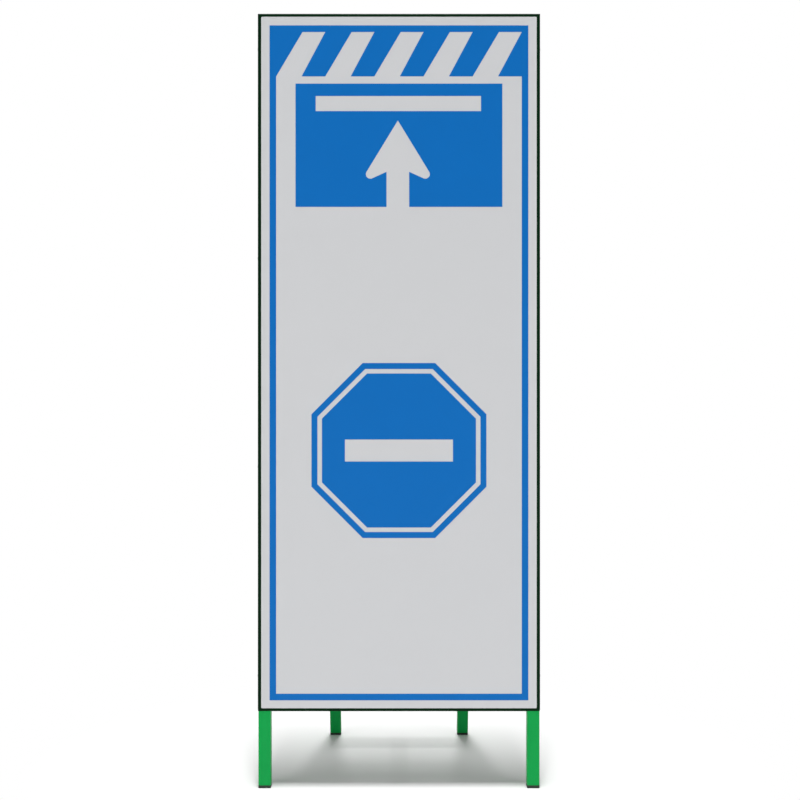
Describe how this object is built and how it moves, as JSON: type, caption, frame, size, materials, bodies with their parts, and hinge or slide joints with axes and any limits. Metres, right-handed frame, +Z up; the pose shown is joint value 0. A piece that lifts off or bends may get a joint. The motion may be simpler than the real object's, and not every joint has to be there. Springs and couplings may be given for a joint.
{
  "type": "standing stop sign",
  "caption": "Folding standing road sign: a tall reflective board on a green tube frame, with a hinged rear stand and a hooked stay.",
  "frame": {"origin": "on the floor, under the middle of the open sign's box", "axes": "+Z up; the board faces -Y; X runs along the board's width, +X on the right from in front"},
  "size_m": [0.5672, 0.4526, 1.55],
  "materials": {
    "frame_paint": "gloss green paint",
    "stand_paint": "satin green paint, a shade darker than the frame's",
    "plate_paint": "satin dark green paint on sheet steel",
    "reflective_film": "light grey reflective film with a blue print",
    "zinc_steel": "bright zinc plating",
    "rivet_aluminium": "bare aluminium",
    "plug_plastic": "dark moulded plastic"
  },
  "bodies": {
    "front_frame": {"left_upright": "frame_paint", "right_upright": "frame_paint", "top_rail": "frame_paint", "hinge_rail": "frame_paint", "middle_rail": "frame_paint", "stay_rail": "frame_paint", "bottom_rail": "frame_paint", "sign_plate": "plate_paint", "plate_rivets": "rivet_aluminium", "reflective_sheet": "reflective_film", "hinge_ear_left_outer": "frame_paint", "hinge_ear_left_inner": "frame_paint", "hinge_ear_right_inner": "frame_paint", "hinge_ear_right_outer": "frame_paint", "hinge_bolt_left": "zinc_steel", "hinge_bolt_right": "zinc_steel", "hinge_nut_left": "zinc_steel", "hinge_nut_right": "zinc_steel", "hinge_washers": "zinc_steel", "stay_ear_left": "frame_paint", "stay_ear_right": "frame_paint", "stay_bolt": "zinc_steel", "stay_nut": "zinc_steel", "stay_washers": "zinc_steel", "front_foot_left": "plug_plastic", "front_foot_right": "plug_plastic"},
    "rear_stand": {"rear_leg_left": "stand_paint", "rear_leg_right": "stand_paint", "upper_cross_tube": "stand_paint", "lower_cross_tube": "stand_paint", "leg_top_plug_left": "plug_plastic", "leg_top_plug_right": "plug_plastic", "rear_foot_left": "plug_plastic", "rear_foot_right": "plug_plastic"},
    "stay": {"stay_hook": "zinc_steel"}
  },
  "joints": [
    {"name": "stand_fold", "type": "hinge", "parent": "front_frame", "child": "rear_stand", "pos_m": [0, -0.17971, 1.18], "axis": [-1, 0, 0], "range_deg": [0, 18.54]},
    {"name": "stay_lift", "type": "hinge", "parent": "front_frame", "child": "stay", "pos_m": [0, -0.18521, 0.42085], "axis": [1, 0, 0], "range_deg": [0, 95]}
  ]
}
